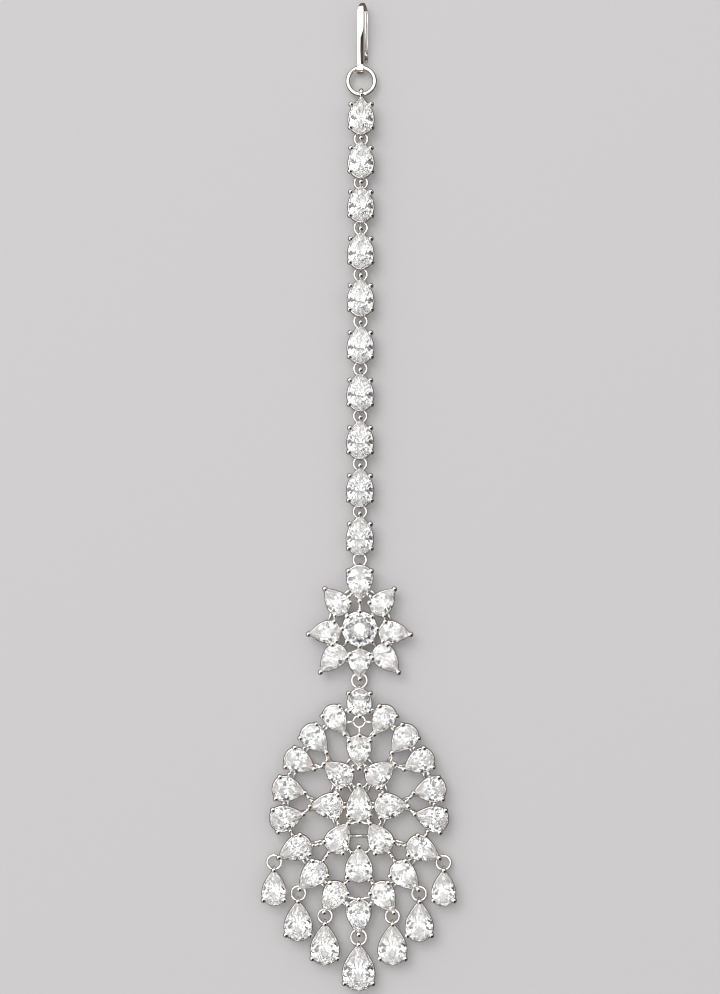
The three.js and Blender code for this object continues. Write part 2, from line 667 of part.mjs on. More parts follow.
const stones = netStones();
const drops = dropPlaces(stones);
const netY = pendantTop - stones[0].length / 2;
tikka.add(part('pendant_net', net(stones, drops, PENDANT_RING_TOP), setStone(), 0, netY));
drops.forEach(({ diameter, middle, stone, holdIn, stoneY }, i) => {
  const ring = wireCircle(diameter, DROP_RING_WIRE, ringLevel(DROP_RING_WIRE));
  tikka.add(part(`drop_ring_${i + 1}`, ring, metal(), middle.x, netY + middle.y));
  tikka.add(part(`drop_${i + 1}`, drop(stone, holdIn), setStone(), middle.x, netY + stoneY));
});

const tikkaLow = netY + Math.min(...drops.map(({ stone, stoneY }) => stoneY - stone.length / 2));
tikka.position.y = -(tikkaTop + tikkaLow) / 2;

export default tikka;
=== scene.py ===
"""A maang tikka: clear cut stones in silver-coloured prong settings, lying face up on a pale surface.

Lengths are in millimetres until a mesh is made, and MM turns them into metres. +Z is up, +Y runs to the hook.
"""

import math

import bpy
from mathutils import Matrix, Vector

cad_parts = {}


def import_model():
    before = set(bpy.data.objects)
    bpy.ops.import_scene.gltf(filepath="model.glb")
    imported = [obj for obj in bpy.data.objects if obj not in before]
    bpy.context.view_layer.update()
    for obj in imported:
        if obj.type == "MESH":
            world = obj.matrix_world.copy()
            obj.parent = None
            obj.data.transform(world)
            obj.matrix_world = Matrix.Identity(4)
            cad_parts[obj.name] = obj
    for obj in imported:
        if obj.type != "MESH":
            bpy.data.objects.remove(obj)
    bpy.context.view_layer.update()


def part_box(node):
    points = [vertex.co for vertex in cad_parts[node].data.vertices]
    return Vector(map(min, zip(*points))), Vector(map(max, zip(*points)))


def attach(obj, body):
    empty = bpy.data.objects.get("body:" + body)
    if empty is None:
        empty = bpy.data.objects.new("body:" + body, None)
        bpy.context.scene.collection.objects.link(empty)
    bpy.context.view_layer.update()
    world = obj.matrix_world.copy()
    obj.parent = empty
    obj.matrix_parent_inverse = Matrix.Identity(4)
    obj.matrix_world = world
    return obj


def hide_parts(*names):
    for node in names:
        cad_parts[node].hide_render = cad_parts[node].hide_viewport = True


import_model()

MM = 0.001

# Stones: depths as shares of the width, the table as a share of the outline, the stars' height as a share
# of the crown, the lower halves' depth as a share of the pavilion, and the culet's shift as a share of the
# way to the widest place. A taper says how strongly a cut narrows to its tip.
PAVILION_SHARE = 0.4
CROWN_SHARE = 0.15
GIRDLE_SHARE = 0.03
TABLE_SHARE = 0.56
STAR_HEIGHT = 0.45
LOWER_DEPTH = 0.76
CULET_SHARE = 0.4
PEAR_TAPER = 0.85
OVAL_TAPER = 0.14
CHAIN_TAPER = 0.42
ROUND_TAPER = 0.0
MAINS = 8

# Base rails, bars and seats. RAIL_SHARE is a share of the stone, RAIL_CORNER of the rail's width, and SEAT_OUT
# is where wires meet a seat, out from the stone's edge.
CULET_GAP = 0.35
RAIL_HEIGHT = 0.5
RAIL_WIDTH = 0.42
RAIL_SHARE = 0.62
RAIL_BEVEL = 0.1
RAIL_CORNER = 0.2
BAR_WIRE = 0.4
SEAT_DROP = 0.34
SEAT_OUT = -0.05

# Prongs. The knee's distance out and the thickness at the bead are shares of the wire's radius, the bead's
# flat face is a share of the bead's radius.
PRONG_WIRE = 0.42
PRONG_KNEE_OUT = 0.5
PRONG_KNEE_DROP = 0.1
PRONG_TOP = 0.95
BEAD = 0.9
BEAD_FACE = 0.42
BEAD_FACE_TURN = 135
BEAD_FACE_TILT = 13
BEAD_LIFT = 0.16
BEAD_OUT = 0.06

# Stem of a prong: shares of the way out to the knee, of the way up to the girdle and of the wire's radius
PRONG_STEM = [
    {"along": 0, "up": 0, "thick": 0.8},
    {"along": 0.55, "up": 0.42, "thick": 0.9},
    {"along": 0.9, "up": 0.78, "thick": 1},
]

# Bead over the loop at a chain stone's upper end, and the post that carries it. CROWN_POST_RADIUS is a share
# of LOOP_WIRE.
CROWN_BEAD = 0.88
CROWN_BEAD_OUT = 0.52
CROWN_BEAD_LIFT = 0.25
CROWN_POST_RADIUS = 0.6
CROWN_POST_IN = 0.05
CROWN_POST_FOOT = 0.45
CROWN_POST_HEAD = 0.1

# Small wires and beads between the settings. ARC_RADIUS is a share of STITCH_WIRE. BOWS are bowed wires from a
# stone's round end to the seats of others.
STITCH_WIRE = 0.42
STITCH_BEAD = 0.7
STITCH_STEP = 0.8
STITCH_TUCK = 0.25
STITCH_LIFT = 0.1
ARC_RADIUS = 0.42
ARC_RISE = 0.35
TRIM_RING_DIAMETER = 2.14
TRIM_RING_WIRE = 0.3
TRIM_POST_WIRE = 0.32
BOWS = [
    {"from": "c2", "to": "i3"},
    {"from": "c4", "to": "s2"},
]

# Loops and rings. A staple's foot is a share of the rail's height, its head of the stone's depth.
LOOP_CLEARANCE = 0.13
LOOP_WIRE = 0.3
BAIL_WIRE = 0.75
STAPLE_FOOT = 0.6
STAPLE_HEAD = 0.2
LINK_WIRE = 0.37
LINK_DIAMETER = 2.41
FLOOR_GAP = 0.38

# Hook and top ring
TOP_RING_WIRE = 0.68
TOP_RING_REACH = 0.78
HOOK_WIDTH = 1.07
HOOK_TIP_WIDTH = 0.5
HOOK_THICKNESS = 0.5
HOOK_GAP = 2.6
HOOK_OPENING = 1.1
HOOK_SIDE_STEP = 0.95
HOOK_LENGTH = 11.2
HOOK_EYE_START = 25
HOOK_EYE_TURN = 295
HOOK_BEVEL_TILT = 36
HOOK_ARCH_WAIST = 0.42
HOOK_SIDE = -0.18

# Section of the band that a stone sits in, from the foot of its skirt over the lip to its inner side:
# distances out from the stone's edge and up from SEAT_LEVEL
SEAT_SECTION = [
    {"out": 0.17, "rise": -0.32},
    {"out": 0.165, "rise": -0.25},
    {"out": 0.05, "rise": -0.02},
    {"out": 0.03, "rise": 0.02},
    {"out": -0.02, "rise": 0.04},
    {"out": -0.12, "rise": 0.03},
    {"out": -0.14, "rise": -0.3},
]

# Section of the hook's band, from its upper left round to its lower right, as shares of half its width and
# half its thickness. Before it come the right side, the cut corner and the top beside that.
HOOK_SECTION = [
    {"across": -0.78, "out": 1},
    {"across": -0.94, "out": 0.86},
    {"across": -1, "out": 0.5},
    {"across": -1, "out": -0.5},
    {"across": -0.94, "out": -0.86},
    {"across": -0.78, "out": -1},
    {"across": 0.78, "out": -1},
    {"across": 0.94, "out": -1},
    {"across": 1, "out": -0.94},
]
HOOK_SIDE_FOOT = -0.78
HOOK_SIDE_TOP = 0.95
HOOK_CUT = (0.97, 0.9, 0.1, 0.03)
HOOK_TOP_STEPS = (0.03, 0.1)
HOOK_BEVEL = 0.04

# Cut corner along the hook's front limb: distance up from the ring's wire, and the cut's share of the width
HOOK_BEVELS = [
    {"y": 0.25, "bevel": 0.04},
    {"y": 0.45, "bevel": 0.44},
    {"y": 2.5, "bevel": 0.49},
    {"y": 4.5, "bevel": 0.45},
    {"y": 5.7, "bevel": 0.06},
    {"y": 6.1, "bevel": 0.04},
]

# Chain
CHAIN_COUNT = 10
CHAIN_GAP = 1.64
CLOSE_LINKS = 2
CLOSE_GAP = 1.24
CHAIN_FIRST = {"length": 5.74, "width": 4.0}
CHAIN_LAST = {"length": 6.1, "width": 4.2}
OVAL_PRONGS = [
    {"turn": 55, "out": 0.3},
    {"turn": 130, "out": 0.06},
]

# Flower
FLOWER_STONE = 5.5
FLOWER_PRONGS = 8
PETAL = {"length": 5.0, "width": 3.5}
PETAL_CLEARANCE = 0.4
PETAL_GAP = 0.3
TOP_PETAL = {"length": 5.7, "width": 4.1}
TOP_PETAL_CLEARANCE = 1.72
PETAL_PRONG_TURN = 132
LOW_PRONG_IN = 0.14

# Each petal: degrees from straight up, the distance of its widest place from the middle as a share of the
# ring of petals, and its length as a share of PETAL's
PETALS = [
    {"turn": 41, "out": 1.02, "long": 1},
    {"turn": 96, "out": 0.97, "long": 1},
    {"turn": 138, "out": 1.13, "long": 1.06},
    {"turn": 180, "out": 1.0, "long": 0.93},
    {"turn": 222, "out": 1.13, "long": 1.06},
    {"turn": 264, "out": 0.97, "long": 1},
    {"turn": 319, "out": 1.02, "long": 1},
]

# Ring between the flower and the pendant
PENDANT_RING_HOLD = 0.8
PENDANT_RING_GAP = 1.6
PENDANT_RING_TOP = 0.05

# Pendant net: the reach is from the axis to the farthest stone's middle, the length from first to last
NET_REACH = 11.58
NET_LENGTH = 34.35
NET_STONE = {"length": 5.3, "width": 3.9}
NET_PRONG_TURN = 132
DROP_RING_WIRE = 0.4
DROP_RING_DIAMETER = 2.66

# Stones of the net. across and down place a stone's middle, as shares of NET_REACH and NET_LENGTH; turn is
# its tip's direction in degrees from straight up, clockwise on the right; long and wide are shares of
# NET_STONE. A stone off the axis has a twin on the left. crest adds a prong at its round end.
NET_STONES = [
    {"name": "c0", "across": 0, "down": 0, "turn": 0, "long": 0.82, "wide": 0.98, "crest": True},
    {"name": "c1", "across": 0, "down": 0.231, "turn": 180, "long": 0.98, "wide": 0.98, "crest": True},
    {"name": "c2", "across": 0, "down": 0.47, "turn": 0, "long": 1.09, "wide": 1.01, "crest": True},
    {"name": "c3", "across": 0, "down": 0.758, "turn": 0, "long": 1.07, "wide": 1.09},
    {"name": "c4", "across": 0, "down": 1, "turn": 180, "long": 1.04, "wide": 1.0, "crest": True},
    {"name": "p1", "across": 0.318, "down": 0.085, "turn": 210.7, "long": 0.96, "wide": 0.9},
    {"name": "p2", "across": 0.604, "down": 0.175, "turn": 220.8, "long": 1.0, "wide": 0.97},
    {"name": "p3", "across": 0.822, "down": 0.279, "turn": 244.4, "long": 0.95, "wide": 0.98},
    {"name": "p4", "across": 0.974, "down": 0.409, "turn": 259.7, "long": 0.97, "wide": 1.02},
    {"name": "p5", "across": 1, "down": 0.541, "turn": 284, "long": 1.02, "wide": 1.04},
    {"name": "p6", "across": 0.891, "down": 0.688, "turn": 116.2, "long": 1.03, "wide": 1.0},
    {"name": "i1", "across": 0.3, "down": 0.331, "turn": 55.5, "long": 0.98, "wide": 0.98},
    {"name": "i2", "across": 0.448, "down": 0.485, "turn": 90, "long": 0.99, "wide": 1.03},
    {"name": "i3", "across": 0.271, "down": 0.632, "turn": 328.6, "long": 1.0, "wide": 1.0},
    {"name": "s1", "across": 0.649, "down": 0.813, "turn": 135, "long": 1.04, "wide": 0.98},
    {"name": "s2", "across": 0.358, "down": 0.911, "turn": 148.4, "long": 1.01, "wide": 0.96},
]

# Bars of the net: which stones they join. twin says that the second stone is the one on the other side.
NET_BARS = [
    {"from": "c0", "to": "p1"},
    {"from": "c1", "to": "p1"},
    {"from": "p1", "to": "p2"},
    {"from": "p2", "to": "p3"},
    {"from": "p3", "to": "p4"},
    {"from": "p4", "to": "p5"},
    {"from": "p5", "to": "p6"},
    {"from": "p6", "to": "s1"},
    {"from": "s1", "to": "s2"},
    {"from": "s2", "to": "c4"},
    {"from": "s2", "to": "c3"},
    {"from": "p2", "to": "i1"},
    {"from": "p3", "to": "i1"},
    {"from": "p4", "to": "i2"},
    {"from": "p5", "to": "i2"},
    {"from": "i1", "to": "i2"},
    {"from": "i1", "to": "c1"},
    {"from": "i1", "to": "c2"},
    {"from": "i2", "to": "c2"},
    {"from": "i2", "to": "i3"},
    {"from": "i3", "to": "c2"},
    {"from": "i3", "to": "c3"},
    {"from": "i3", "to": "p6"},
    {"from": "i3", "to": "s1"},
    {"from": "i3", "to": "i3", "twin": True},
]

# Drops: the net stone that carries each; its ring's middle from that stone's tip, outward and down, and the
# ring's diameter, as shares of DROP_RING_DIAMETER; how far the wire lies in from the drop's tip; and the
# drop's size as shares of DROP
DROP = {"length": 7.28, "width": 5.1}
DROPS = [
    {"from": "c4", "out": 0, "down": 0.3, "ring": 1.08, "hold": 0.3, "long": 1, "wide": 1},
    {"from": "s2", "out": -0.05, "down": 0.35, "ring": 0.98, "hold": 0.05, "long": 0.89, "wide": 0.885},
    {"from": "s1", "out": 0.09, "down": 0.37, "ring": 1, "hold": 0.05, "long": 0.868, "wide": 0.853},
    {"from": "p6", "out": 0.31, "down": 0.39, "ring": 1, "hold": 0.05, "long": 0.77, "wide": 0.728},
]

# Steps of the round forms. OUTLINE_STEP is the angle over which an outline's direction is taken.
WIRE_SIDES = 12
RING_STEPS = 48
RAIL_STEPS = 40
REACH_STEPS = 48
SEAT_STEPS = 72
ARC_STEPS = 8
BEAD_RINGS = 8
BEAD_SIDES = 16
BEND_STEPS = 8
HOOK_STEPS = 24
TRIM_STEPS = 32
OUTLINE_STEP = 0.02

DEEPEST_STONE = max(FLOWER_STONE, DROP["width"], TOP_PETAL["width"], CHAIN_LAST["width"], NET_STONE["width"])
GIRDLE_LEVEL = CULET_GAP + PAVILION_SHARE * DEEPEST_STONE
SEAT_LEVEL = GIRDLE_LEVEL - SEAT_DROP

# Metal and stones. Patches, marks and haze are noise, with its scale per metre.
METAL_TINTS = [
    {"at": 0.3, "shade": (0.78, 0.745, 0.70)},
    {"at": 0.7, "shade": (0.90, 0.885, 0.865)},
]
METAL_PATCHES = {"scale": 900, "detail": 3}
METAL_ROUGHNESS = {"least": 0.03, "most": 0.1}
METAL_MARKS = {"scale": 6000, "detail": 2, "strength": 0.03, "distance": 0.00002}
STONE_TINTS = [
    {"at": 0.0, "shade": (0.985, 0.988, 0.994)},
    {"at": 1.0, "shade": (1, 1, 1)},
]
STONE_HAZE = {"scale": 1500, "detail": 2}
STONE_ROUGHNESS = {"least": 0.0, "most": 0.006}
STONE_TRANSMISSION = 0.97
STONE_IOR = 2.17
STONE_GLINT = 0.85

# Surface, in metres. Its last two shades are glows that stand in for it: a dark painted reflection in the
# metal, and bright painted light through the stones
FLOOR_SIZE = 4.0
FLOOR_SHADE = (0.635, 0.625, 0.63)
FLOOR_UNEVEN = 1.01
FLOOR_GRAIN = {"scale": 12, "detail": 2}
FLOOR_ROUGHNESS = 0.9
FLOOR_SPECULAR = 0.1
FLOOR_PAINTED_REFLECTION_IN_METAL = (0.15, 0.118, 0.098)
FLOOR_PAINTED_LIGHT_IN_STONE = (0.6, 0.595, 0.59)

# Light, in metres. The tables of the domes and the card go from 0, at right angles to their side, to 1,
# straight towards it.
BLACK = (0.01, 0.01, 0.01)
KEY_PLACE = (-0.55, 0.7, 1.25)
KEY_POWER = 8.6
KEY_SIZE = 1.0
DOME_STRENGTH = 1.3
LENS_DISC = {"place": (0, 0, 0.42), "radius": 0.075, "sides": 32, "roughness": 0.9}
BRIGHT_SIDE = {"turn": -45, "tilt": 18}
CARD_SIDE = {"turn": 135, "tilt": 26}
STRAIGHT_UP = {"turn": 0, "tilt": 0}
CARD = [
    {"at": 0.955, "shade": (1, 1, 1)},
    {"at": 0.968, "shade": BLACK},
    {"at": 1.0, "shade": BLACK},
]
DOME_FOR_METAL = [
    {"at": 0.0, "shade": (0.025, 0.02, 0.017)},
    {"at": 0.22, "shade": (0.13, 0.11, 0.1)},
    {"at": 0.4, "shade": (1.0, 1.0, 1.0)},
    {"at": 1.0, "shade": (1.5, 1.5, 1.5)},
]
DOME_FOR_STONE = [
    {"at": 0.0, "shade": (0.1, 0.1, 0.1)},
    {"at": 0.2, "shade": (0.9, 0.9, 0.9)},
    {"at": 0.45, "shade": (1.0, 1.0, 1.0)},
    {"at": 0.66, "shade": (0.06, 0.06, 0.06)},
    {"at": 0.76, "shade": (0.85, 0.85, 0.85)},
    {"at": 0.93, "shade": BLACK},
    {"at": 1.0, "shade": BLACK},
]
DOME_FOR_SURFACE = [
    {"at": 0.0, "shade": (0.312, 0.307, 0.307)},
    {"at": 1.0, "shade": (0.697, 0.686, 0.687)},
]

# Camera: lens, sensor and shift in millimetres, CLIP in metres
PHOTO = {"height": 994, "mm_per_pixel": 0.16}
LENS = 85
SENSOR = 36
CAMERA_ROLL = 0.17
CAMERA_SHIFT = {"x": 0.0, "y": -0.1}
CLIP = {"near": 0.01, "far": 10}
BOUNCES = {"all": 32, "transmission": 24, "glossy": 24, "diffuse": 3}
FILTER_WIDTH = 1.1


# Meshes

class Shape:
    """Points and faces of one piece, in millimetres, before it becomes an object."""

    def __init__(self):
        self.points = []
        self.faces = []

    def add(self, points, faces, place=None):
        start = len(self.points)
        self.points += [place @ Vector(p) if place else Vector(p) for p in points]
        self.faces += [[start + i for i in face] for face in faces]

    def sweep(self, rings, closed=False, place=None):
        """Skin through rings of points, with flat caps unless it closes on itself."""
        count = len(rings[0])
        points = [p for ring in rings for p in ring]
        faces = []
        spans = len(rings) if closed else len(rings) - 1
        for r in range(spans):
            low = r * count
            high = (r + 1) % len(rings) * count
            for k in range(count):
                n = (k + 1) % count
                faces.append([low + k, low + n, high + n, high + k])
        if not closed:
            faces.append(list(range(count))[::-1])
            faces.append([len(points) - count + k for k in range(count)])
        self.add(points, faces, place)

    def tube(self, path, radius, closed=False, place=None, up=(0, 0, 1)):
        """Round wire along a path. radius is one number, or one for each point."""
        path = [Vector(p) for p in path]
        radii = radius if isinstance(radius, list) else [radius] * len(path)
        rings = []
        side = None
        for i, point in enumerate(path):
            before = path[i - 1] if closed or i else point
            after = path[(i + 1) % len(path)] if closed or i + 1 < len(path) else point
            along = (after - before).normalized()
            side = Vector(up) if side is None else side
            side = side - along * side.dot(along)
            if side.length < 1e-4:
                side = along.orthogonal()
            side.normalize()
            other = along.cross(side)
            rings.append([
                point + (side * math.cos(a) + other * math.sin(a)) * radii[i]
                for a in (math.tau * k / WIRE_SIDES for k in range(WIRE_SIDES))
            ])
        self.sweep(rings, closed, place)

    def bead(self, centre, radius, place=None):
        """Ball with a small polished face on top, which leans the same way on every ball."""
        centre = place @ Vector(centre) if place else Vector(centre)
        lean = math.radians(BEAD_FACE_TILT)
        axis = flat(heading(BEAD_FACE_TURN) * math.sin(lean), math.cos(lean))
        side = axis.orthogonal().normalized()
        other = axis.cross(side)
        first = math.asin(BEAD_FACE)
        points = []
        for r in range(BEAD_RINGS):
            tilt = lerp(first, math.pi, r / BEAD_RINGS)
            for a in (math.tau * k / BEAD_SIDES for k in range(BEAD_SIDES)):
                level = side * math.cos(a) + other * math.sin(a)
                points.append(centre + (axis * math.cos(tilt) + level * math.sin(tilt)) * radius)
        points.append(centre - axis * radius)
        faces = [list(range(BEAD_SIDES))]
        bottom = len(points) - 1
        for k in range(BEAD_SIDES):
            n = (k + 1) % BEAD_SIDES
            faces.append([bottom, bottom - BEAD_SIDES + n, bottom - BEAD_SIDES + k])
            for r in range(BEAD_RINGS - 1):
                high = r * BEAD_SIDES
                low = high + BEAD_SIDES
                faces.append([high + n, high + k, low + k, low + n])
        self.add(points, faces)

    def piece(self, name, material, slot, *nodes, smooth=True):
        """Object of this shape that stands for CAD nodes; faces with more than four sides stay flat."""
        mesh = bpy.data.meshes.new(name)
        mesh.from_pydata([p * MM for p in self.points], [], self.faces)
        mesh.validate()
        mesh.polygons.foreach_set("use_smooth", [smooth and len(face.vertices) < 5 for face in mesh.polygons])
        mesh.materials.append(material)
        mesh.update()
        found = bpy.data.objects.new(name, mesh)
        bpy.context.scene.collection.objects.link(found)
        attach(found, "root")
        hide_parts(*nodes)


def heading(turn):
    """Direction in the plane for a turn in degrees from +Y, clockwise."""
    return Vector((math.sin(math.radians(turn)), math.cos(math.radians(turn))))


def flat(vector, level=0.0):
    return Vector((vector.x, vector.y, level))


def placed(middle, turn=0.0):
    """Place of a stone: its middle in the plane and its turn in degrees, clockwise."""
    return Matrix.Translation(flat(middle)) @ Matrix.Rotation(-math.radians(turn), 4, "Z")


def lerp(a, b, share):
    return a + (b - a) * share


# Stones

def outline_point(stone, angle):
    """Point of a stone's outline at an angle from its tip, which points to +Y."""
    taper = stone["taper"]
    widest = 2 * math.atan(math.sqrt(1 + taper))

    def bulge(a):
        return math.sin(a) * abs(math.sin(a / 2)) ** taper

    return Vector((bulge(angle) / bulge(widest) * stone["width"] / 2, math.cos(angle) * stone["length"] / 2))


def outline_along(stone, angle):
    before = outline_point(stone, angle - OUTLINE_STEP)
    return (outline_point(stone, angle + OUTLINE_STEP) - before).normalized()


def outline_out(stone, angle):
    along = outline_along(stone, angle)
    return Vector((-along.y, along.x))


def reduced(stone, share, rim=0.0):
    return {**stone, "length": stone["length"] * share - 2 * rim, "width": stone["width"] * share - 2 * rim}


def plane_of(point, along, other):
    """Plane through a point and another one, which holds a level direction too."""
    normal = flat(along).cross(other - point)
    return normal, normal.dot(point)


def meet(one, other, level):
    """Point at a level where two planes meet."""
    (n1, d1), (n2, d2) = one, other
    e1 = d1 - n1.z * level
    e2 = d2 - n2.z * level
    det = n1.x * n2.y - n1.y * n2.x
    return Vector(((e1 * n2.y - e2 * n1.y) / det, (n1.x * e2 - n2.x * e1) / det, level))


def gem_points(stone):
    """Points of a brilliant cut: table, stars, upper and lower edge of the girdle, keels and culet."""
    half = GIRDLE_SHARE * stone["width"] / 2
    top = GIRDLE_LEVEL + CROWN_SHARE * stone["width"]
    bottom = GIRDLE_LEVEL - PAVILION_SHARE * stone["width"]
    widest = math.cos(2 * math.atan(math.sqrt(1 + stone["taper"]))) * stone["length"] / 2
    culet = Vector((0, widest * CULET_SHARE, bottom))
    angles = [math.tau * i / (2 * MAINS) for i in range(2 * MAINS)]
    upper = [flat(outline_point(stone, a), GIRDLE_LEVEL + half) for a in angles]
    lower = [flat(outline_point(stone, a), GIRDLE_LEVEL - half) for a in angles]
    table = [flat(outline_point(reduced(stone, TABLE_SHARE), a), top) for a in angles[::2]]
    bezels = [plane_of(upper[2 * k], outline_along(stone, angles[2 * k]), table[k]) for k in range(MAINS)]
    mains = [plane_of(lower[2 * k], outline_along(stone, angles[2 * k]), culet) for k in range(MAINS)]
    star_level = lerp(GIRDLE_LEVEL + half, top, STAR_HEIGHT)
    keel_level = lerp(GIRDLE_LEVEL - half, bottom, LOWER_DEPTH)
    stars = [meet(bezels[k], bezels[(k + 1) % MAINS], star_level) for k in range(MAINS)]
    keels = [meet(mains[k], mains[(k + 1) % MAINS], keel_level) for k in range(MAINS)]
    return [*table, *stars, *upper, *lower, *keels, culet]


def gem_faces():
    """Faces on those points: the table, then stars, bezels, upper halves, girdle, lower halves and mains."""
    first_star, first_upper = MAINS, 2 * MAINS
    first_lower, first_keel = 4 * MAINS, 6 * MAINS
    culet = 7 * MAINS
    faces = [list(range(MAINS))[::-1]]
    for k in range(MAINS):
        n = (k + 1) % MAINS
        b = (k - 1) % MAINS
        edge = [2 * k, 2 * k + 1, (2 * k + 2) % (2 * MAINS)]
        high = [first_upper + e for e in edge]
        low = [first_lower + e for e in edge]
        faces += [
            [k, n, first_star + k],
            [k, first_star + k, high[0], first_star + b],
            [first_star + k, high[1], high[0]],
            [first_star + k, high[2], high[1]],
            [high[0], high[1], low[1], low[0]],
            [high[1], high[2], low[2], low[1]],
            [first_keel + k, low[0], low[1]],
            [first_keel + k, low[1], low[2]],
            [culet, first_keel + b, low[0], first_keel + k],
        ]
    return faces


def cut_stone(name, stone, place, node):
    shape = Shape()
    shape.add(gem_points(stone), gem_faces(), place)
    shape.piece(name, STONE, "stone", node, smooth=False)


# Settings

def ring_of(stone, level, count=RAIL_STEPS):
    return [flat(outline_point(stone, math.tau * i / count), level) for i in range(count)]


def rails(shape, stone, place):
    """Base rail on the surface, and the skirted band that the stone sits in."""
    outer = reduced(stone, RAIL_SHARE)
    inner = reduced(stone, RAIL_SHARE, RAIL_WIDTH)
    section = [
        (0, RAIL_BEVEL), (0, RAIL_HEIGHT - RAIL_BEVEL),
        (RAIL_CORNER, RAIL_HEIGHT), (1 - RAIL_CORNER, RAIL_HEIGHT),
        (1, RAIL_HEIGHT - RAIL_BEVEL), (1, RAIL_BEVEL),
        (1 - RAIL_CORNER, 0), (RAIL_CORNER, 0),
    ]
    rings = []
    for i in range(RAIL_STEPS):
        a = math.tau * i / RAIL_STEPS
        o = outline_point(outer, a)
        n = outline_point(inner, a)
        rings.append([flat(lerp(o, n, share), level) for share, level in section])
    shape.sweep(rings, True, place)
    outlines = [ring_of(reduced(stone, 1, -row["out"]), SEAT_LEVEL + row["rise"]) for row in SEAT_SECTION]
    shape.sweep([list(ring) for ring in zip(*outlines)], True, place)


def prong(shape, stone, angle, place, outward=BEAD_OUT, foot=None):
    """Bent wire from the base rail to the stone's edge, with a polished bead over it."""
    edge = outline_point(stone, angle)
    out = outline_out(stone, angle)
    base = foot or outline_point(reduced(stone, RAIL_SHARE, RAIL_WIDTH / 2), angle)
    radius = PRONG_WIRE / 2
    head = edge + out * outward
    knee = head + out * (radius * PRONG_KNEE_OUT)
    path = [
        flat(lerp(base, knee, row["along"]), lerp(RAIL_HEIGHT / 2, GIRDLE_LEVEL, row["up"]))
        for row in PRONG_STEM
    ]
    path += [flat(knee, GIRDLE_LEVEL - PRONG_KNEE_DROP), flat(head, GIRDLE_LEVEL + BEAD_LIFT)]
    radii = [radius * row["thick"] for row in PRONG_STEM] + [radius, radius * PRONG_TOP]
    shape.tube(path, radii, False, place, flat(out))
    shape.bead(flat(head, GIRDLE_LEVEL + BEAD_LIFT), BEAD / 2, place)


def oval_prongs(shape, stone, place):
    for row in OVAL_PRONGS:
        for side in (1, -1):
            prong(shape, stone, side * math.radians(row["turn"]), place, row["out"])


def crown_bead(shape, stone, place):
    """Bead on a short post that hides the loop at a stone's upper end."""
    point = Vector((0, stone["length"] / 2 + CROWN_BEAD_OUT))
    root = Vector((0, stone["length"] / 2 - CROWN_POST_IN))
    path = [flat(root, ring_level(LINK_WIRE) + CROWN_POST_FOOT), flat(point, SEAT_LEVEL + CROWN_POST_HEAD)]
    shape.tube(path, LOOP_WIRE * CROWN_POST_RADIUS, False, place, (1, 0, 0))
    shape.bead(flat(point, SEAT_LEVEL + CROWN_BEAD_LIFT), CROWN_BEAD / 2, place)


def loop_radius(wire):
    return wire / 2 + LOOP_CLEARANCE + LOOP_WIRE / 2


def ring_level(wire):
    return FLOOR_GAP + loop_radius(wire) + LOOP_WIRE / 2


def staple(shape, point, anchor, wire, stone, place=None, thick=LOOP_WIRE):
    """Wire round a ring at a point: from the rail under the ring, round it and back into the setting."""
    away = point - anchor
    out = away.normalized()
    radius = loop_radius(wire)
    level = ring_level(wire)
    head = GIRDLE_LEVEL - PAVILION_SHARE * stone["width"] * STAPLE_HEAD
    path = [flat(anchor, RAIL_HEIGHT * STAPLE_FOOT)]
    for i in range(BEND_STEPS + 1):
        turn = math.pi * (i / BEND_STEPS - 0.5)
        path.append(flat(point + out * (radius * math.cos(turn)), level + radius * math.sin(turn)))
    path.append(flat(anchor, head))
    shape.tube(path, thick / 2, False, place, flat(Vector((-out.y, out.x))))


def eye(shape, point, away, wire):
    """Upright closed loop round a ring's wire at a point."""
    radius = loop_radius(wire)
    level = ring_level(wire)
    path = []
    for i in range(2 * BEND_STEPS):
        turn = math.tau * i / (2 * BEND_STEPS)
        path.append(flat(point + away * (radius * math.cos(turn)), level + radius * math.sin(turn)))
    shape.tube(path, LOOP_WIRE / 2, True, up=flat(Vector((-away.y, away.x))))


def rail_end(stone, side=1):
    return Vector((0, side * (RAIL_SHARE * stone["length"] / 2 - RAIL_WIDTH / 2)))


def rail_reach(stone, direction):
    """Distance from a stone's middle to its base rail in a direction of the plane."""
    rim = reduced(stone, RAIL_SHARE, RAIL_WIDTH / 2)
    turned = Matrix.Rotation(math.radians(stone["turn"]), 2) @ direction
    points = [outline_point(rim, math.tau * i / REACH_STEPS) for i in range(REACH_STEPS)]
    return max(points, key=lambda p: p.normalized().dot(turned)).length


def rail_bar(shape, one, other):
    along = (other["middle"] - one["middle"]).normalized()
    start = one["middle"] + along * rail_reach(one, along)
    end = other["middle"] - along * rail_reach(other, -along)
    shape.tube([flat(start, RAIL_HEIGHT / 2), flat(end, RAIL_HEIGHT / 2)], BAR_WIRE / 2)


def seat_points(stone):
    """Points round a stone's seat where small wires meet it."""
    place = placed(stone["middle"], stone["turn"])
    seat = reduced(stone, 1, -SEAT_OUT)
    return [(place @ p).xy for p in ring_of(seat, SEAT_LEVEL, SEAT_STEPS)]


def nearest(one, other):
    """The closest points of two stones' seats."""
    ends = seat_points(other)
    return min(((a, b) for a in seat_points(one) for b in ends), key=lambda pair: (pair[0] - pair[1]).length)


def stitch(shape, one, other):
    """Short wire that joins two stones' seats where they come closest, with beads along it."""
    start, end = nearest(one, other)
    tuck = (end - start).normalized() * STITCH_TUCK
    shape.tube([flat(start - tuck, SEAT_LEVEL), flat(end + tuck, SEAT_LEVEL)], STITCH_WIRE / 2)
    count = max(1, round((end - start).length / STITCH_STEP))
    for i in range(count):
        shape.bead(flat(lerp(start, end, (i + 0.5) / count), SEAT_LEVEL + STITCH_LIFT), STITCH_BEAD / 2)


